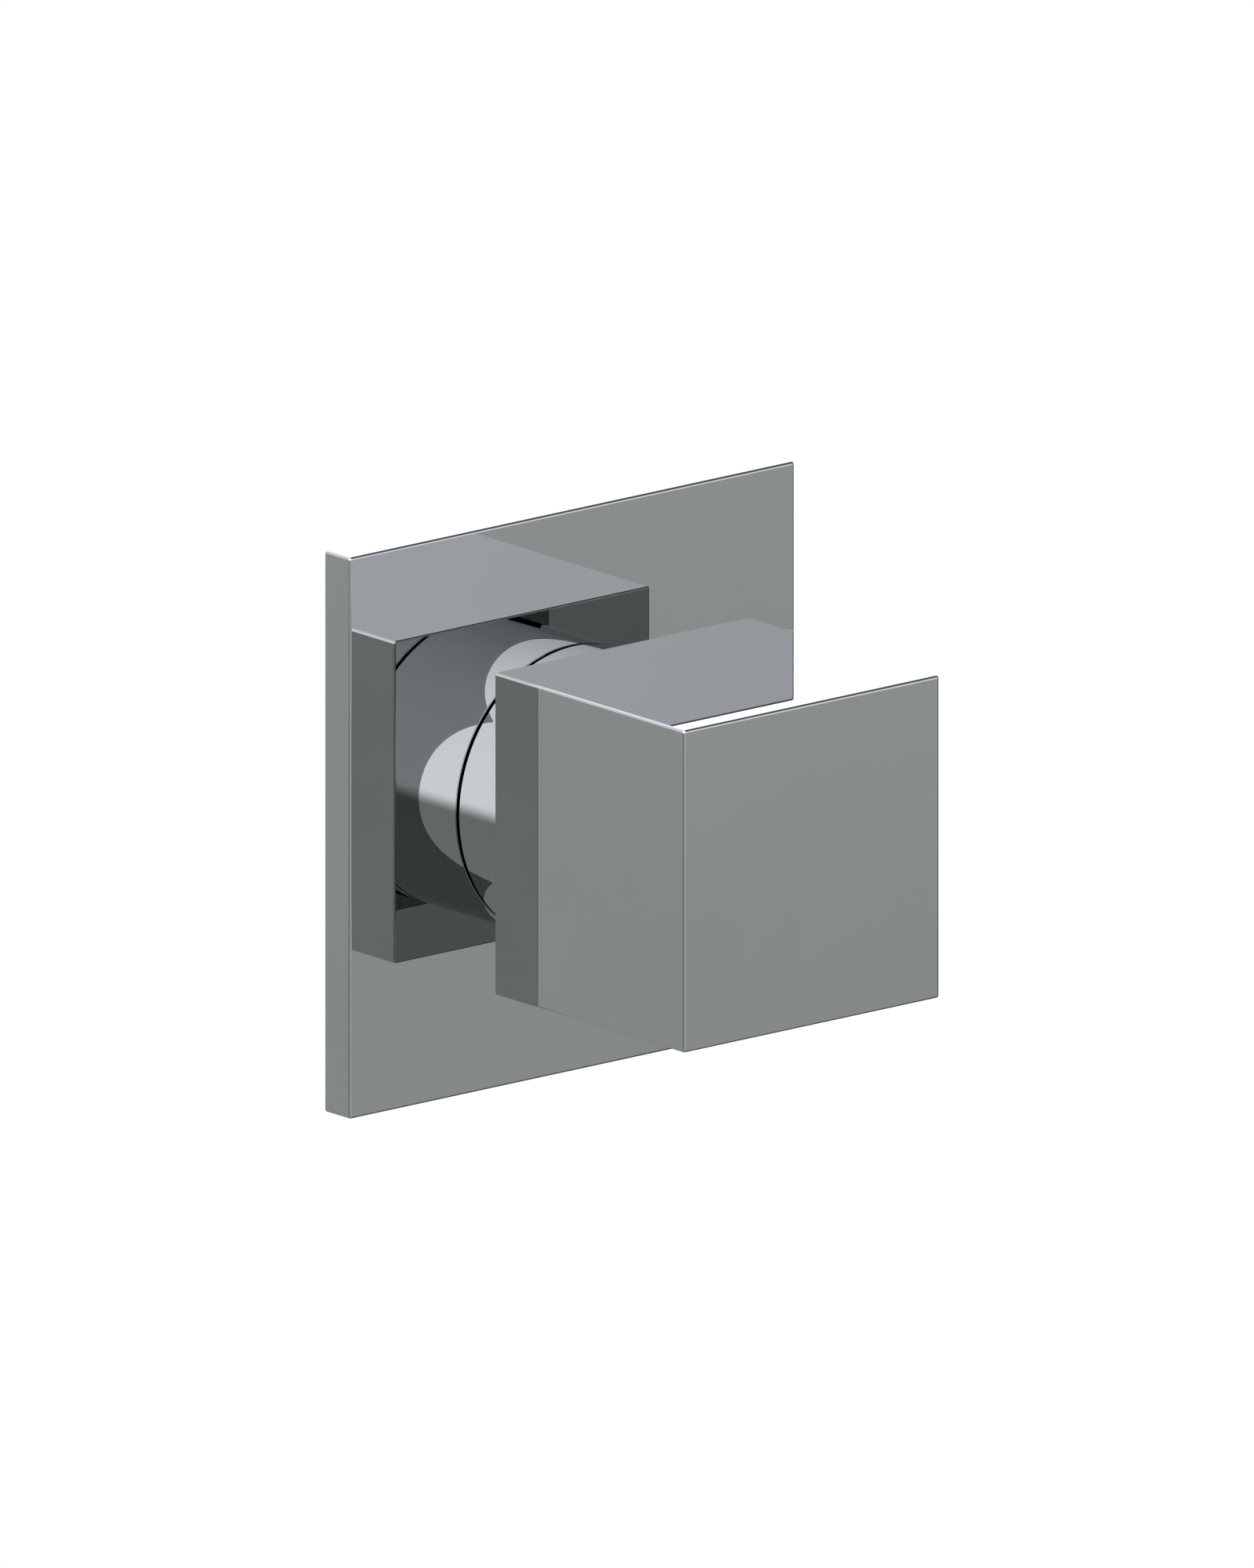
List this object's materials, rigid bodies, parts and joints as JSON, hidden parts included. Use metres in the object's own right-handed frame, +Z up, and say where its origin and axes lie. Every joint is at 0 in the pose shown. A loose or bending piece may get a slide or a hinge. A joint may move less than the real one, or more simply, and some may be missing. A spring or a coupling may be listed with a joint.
{
  "type": "shower volume control valve",
  "caption": "Concealed shower stop valve with a square chrome cover plate and a cube handle on a round hub that makes a quarter turn.",
  "frame": {"origin": "on the stem's axis at the wall surface, in the plane of the cover plate's back", "axes": "+Z up towards the outlet, +X right as the user faces the wall, and the front with its handle faces -Y"},
  "size_m": [0.07, 0.0827, 0.07],
  "materials": {
    "chrome": "mirror polished",
    "brass": "machined",
    "cast_brass": "cast, machined at the ports and neck",
    "steel": "satin",
    "rubber": "matt",
    "foam": "closed-cell foam",
    "black_plastic": "moulded",
    "white_plastic": "moulded",
    "ceramic": "lapped"
  },
  "bodies": {
    "valve": {"cover_plate": "chrome", "plate_gasket": "foam", "plate_collar": "black_plastic", "collar_o_ring": "rubber", "sleeve": "brass", "glide_ring": "white_plastic", "thrust_washer": "white_plastic", "lower_disc": "ceramic", "seat_seal": "rubber", "cartridge_housing": "brass", "housing_o_ring": "rubber", "valve_body": "cast_brass"},
    "handle": {"handle": "chrome", "set_screw": "steel", "handle_adapter": "brass", "adapter_screw": "steel", "adapter_washer": "steel", "stem": "brass", "stem_clip": "steel", "stem_o_rings": "rubber", "upper_disc": "ceramic"}
  },
  "joints": [
    {"name": "handle_turn", "type": "hinge", "parent": "valve", "child": "handle", "pos_m": [0, 0, 0], "axis": [0, -1, 0], "range_deg": [0, 90]}
  ]
}
